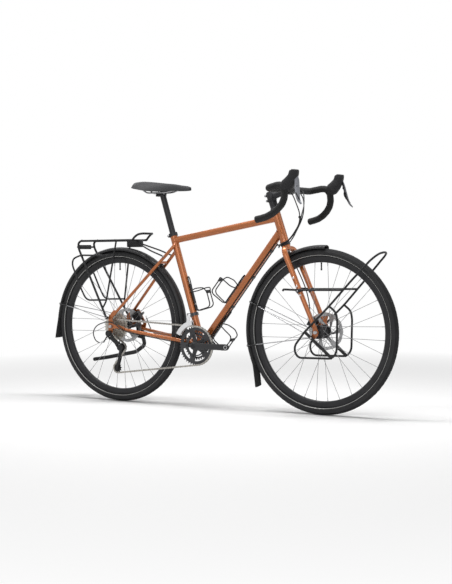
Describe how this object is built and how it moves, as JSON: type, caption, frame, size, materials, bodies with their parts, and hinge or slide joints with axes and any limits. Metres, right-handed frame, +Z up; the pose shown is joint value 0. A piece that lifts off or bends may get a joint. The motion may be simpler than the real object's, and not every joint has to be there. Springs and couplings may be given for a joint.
{
  "type": "touring bicycle",
  "caption": "Drop-bar touring bicycle with disc brakes, pannier and low-rider racks, mudguards, bottle cages and a folded kickstand, with steering, wheels, drive and levers that move.",
  "frame": {"origin": "centre of the bounding box on the ground, in the middle plane of the frame", "axes": "+X forward, +Y to the rider's left, +Z up"},
  "size_m": [1.7742, 0.4962, 1.0162],
  "materials": {
    "paint": "metallic gloss",
    "black_metal": "satin",
    "black_plastic": "satin",
    "rubber": "matte",
    "tape": "matte",
    "tyre": "matte",
    "vinyl": "matte",
    "silver": "brushed",
    "grey_metal": "anodised"
  },
  "bodies": {
    "frame": {"frame": "paint", "seat_clamp": "black_metal", "bottom_bracket_cup_right": "silver", "bottom_bracket_cup_left": "silver", "headset_lower_cup": "black_metal", "front_mech_clamp": "black_metal", "rear_mech_mount": "grey_metal", "chain": "silver", "rear_caliper": "black_metal", "rear_axle": "silver", "rear_rack": "black_metal", "rear_mudguard": "black_plastic", "seat_tube_bottle_cage": "black_metal", "down_tube_bottle_cage": "black_metal", "lower_bottle_cage": "black_metal", "kickstand_bracket": "black_metal", "frame_housings": "black_plastic"},
    "seat": {"seatpost": "black_metal", "saddle_rails": "black_metal", "saddle": "vinyl"},
    "fork": {"fork": "paint", "headset_cover": "black_metal", "stem": "black_metal", "handlebar": "black_metal", "bar_tape_right": "tape", "bar_tape_left": "tape", "hood_right": "rubber", "hood_left": "rubber", "front_caliper": "black_metal", "front_axle": "silver", "front_mudguard": "black_plastic", "lowrider_rack": "black_metal", "control_housings": "black_plastic", "front_brake_housing": "black_plastic"},
    "front_wheel": {"front_tyre": "tyre", "front_rim": "black_metal", "front_hub_and_spokes": "silver", "front_rotor": "silver"},
    "rear_wheel": {"rear_tyre": "tyre", "rear_rim": "black_metal", "rear_hub_and_spokes": "silver", "rear_rotor": "silver"},
    "cassette": {"cassette": "silver"},
    "crank": {"crank_right": "black_metal", "crank_left": "black_metal", "chainring_outer": "silver", "chainring_inner": "silver"},
    "lever_right": {"brake_lever_right": "grey_metal"},
    "lever_left": {"brake_lever_left": "grey_metal"},
    "paddle_right": {"shift_paddle_right": "black_plastic"},
    "paddle_left": {"shift_paddle_left": "black_plastic"},
    "rear_caliper_arm": {"rear_caliper_arm": "silver"},
    "front_caliper_arm": {"front_caliper_arm": "silver"},
    "front_mech": {"front_mech_cage": "grey_metal"},
    "rear_mech_link": {"rear_mech_link": "grey_metal"},
    "rear_mech_knuckle": {"rear_mech_knuckle": "grey_metal"},
    "rear_mech_cage": {"rear_mech_cage": "grey_metal"},
    "guide_pulley": {"guide_pulley": "black_plastic"},
    "tension_pulley": {"tension_pulley": "black_plastic"},
    "kickstand": {"kickstand_leg": "black_metal"}
  },
  "joints": [
    {"name": "seatpost_height", "type": "slide", "parent": "frame", "child": "seat", "axis": [-0.2924, 0, 0.9563], "range_m": [-0.08, 0.07]},
    {"name": "steering", "type": "hinge", "parent": "frame", "child": "fork", "pos_m": [0.49643, 0, 0.33372], "axis": [-0.3173, 0, 0.9483], "range_deg": [-55, 55], "deforming": ["control_housings"]},
    {"name": "front_wheel_spin", "type": "hinge", "parent": "fork", "child": "front_wheel", "pos_m": [0.5391, 0, 0.348], "axis": [0, 1, 0], "continuous": true},
    {"name": "rear_wheel_spin", "type": "hinge", "parent": "frame", "child": "rear_wheel", "pos_m": [-0.5049, 0, 0.348], "axis": [0, 1, 0], "continuous": true},
    {"name": "crank_spin", "type": "hinge", "parent": "frame", "child": "crank", "pos_m": [-0.05612, 0, 0.273], "axis": [0, 1, 0], "continuous": true, "deforming": ["chain"]},
    {"name": "cassette_spin", "type": "hinge", "parent": "frame", "child": "cassette", "pos_m": [-0.5049, 0, 0.348], "axis": [0, 1, 0], "continuous": true},
    {"name": "brake_lever_right_pull", "type": "hinge", "parent": "fork", "child": "lever_right", "pos_m": [0.53188, -0.2022, 0.98546], "axis": [0, 1, 0], "range_deg": [0, 22], "stiffness_Nm_per_rad": 1.5, "springref_deg": -11.46},
    {"name": "brake_lever_left_pull", "type": "hinge", "parent": "fork", "child": "lever_left", "pos_m": [0.53188, 0.2022, 0.98546], "axis": [0, 1, 0], "range_deg": [0, 22], "stiffness_Nm_per_rad": 1.5, "springref_deg": -11.46},
    {"name": "shift_paddle_right_push", "type": "hinge", "parent": "lever_right", "child": "paddle_right", "pos_m": [0.5484, -0.2067, 0.95596], "axis": [1, 0, 0], "range_deg": [0, 15], "stiffness_Nm_per_rad": 0.3, "springref_deg": -11.46},
    {"name": "shift_paddle_left_push", "type": "hinge", "parent": "lever_left", "child": "paddle_left", "pos_m": [0.5484, 0.2067, 0.95596], "axis": [-1, 0, 0], "range_deg": [0, 15], "stiffness_Nm_per_rad": 0.3, "springref_deg": -11.46},
    {"name": "rear_caliper_pull", "type": "hinge", "parent": "frame", "child": "rear_caliper_arm", "pos_m": [-0.44674, 0.065, 0.38872], "axis": [0, 1, 0], "range_deg": [0, 15]},
    {"name": "front_caliper_pull", "type": "hinge", "parent": "fork", "child": "front_caliper_arm", "pos_m": [0.47761, 0.048, 0.3835], "axis": [0, 1, 0], "range_deg": [0, 15]},
    {"name": "front_mech_swing", "type": "hinge", "parent": "frame", "child": "front_mech", "pos_m": [-0.10117, -0.032, 0.40667], "axis": [1, 0, 0], "range_deg": [0, 8]},
    {"name": "rear_mech_swing", "type": "hinge", "parent": "frame", "child": "rear_mech_link", "pos_m": [-0.49902, -0.0813, 0.29892], "axis": [0.7761, 0, 0.6306], "range_deg": [-8, 20]},
    {"name": "rear_mech_square", "type": "hinge", "parent": "rear_mech_link", "child": "rear_mech_knuckle", "pos_m": [-0.47477, -0.064, 0.26908], "axis": [0.7761, 0, 0.6306], "range_deg": [-20, 8]},
    {"name": "rear_mech_cage_tension", "type": "hinge", "parent": "rear_mech_knuckle", "child": "rear_mech_cage", "pos_m": [-0.4609, -0.05, 0.252], "axis": [0, 1, 0], "range_deg": [-40, 10], "stiffness_Nm_per_rad": 2},
    {"name": "guide_pulley_spin", "type": "hinge", "parent": "rear_mech_cage", "child": "guide_pulley", "pos_m": [-0.4609, -0.05, 0.252], "axis": [0, 1, 0], "continuous": true},
    {"name": "tension_pulley_spin", "type": "hinge", "parent": "rear_mech_cage", "child": "tension_pulley", "pos_m": [-0.4863, -0.05, 0.15735], "axis": [0, 1, 0], "continuous": true},
    {"name": "kickstand_swing", "type": "hinge", "parent": "frame", "child": "kickstand", "pos_m": [-0.4429, 0.0738, 0.296], "axis": [0, -1, 0], "range_deg": [0, 75]}
  ],
  "couplings": [
    {"joint": "cassette_spin", "follows": "crank_spin", "ratio": 2.625},
    {"joint": "guide_pulley_spin", "follows": "crank_spin", "ratio": -3.8182},
    {"joint": "tension_pulley_spin", "follows": "crank_spin", "ratio": 3.8182},
    {"joint": "rear_mech_square", "follows": "rear_mech_swing", "ratio": -1},
    {"joint": "rear_caliper_pull", "follows": "brake_lever_right_pull", "ratio": 0.68},
    {"joint": "front_caliper_pull", "follows": "brake_lever_left_pull", "ratio": 0.68}
  ]
}
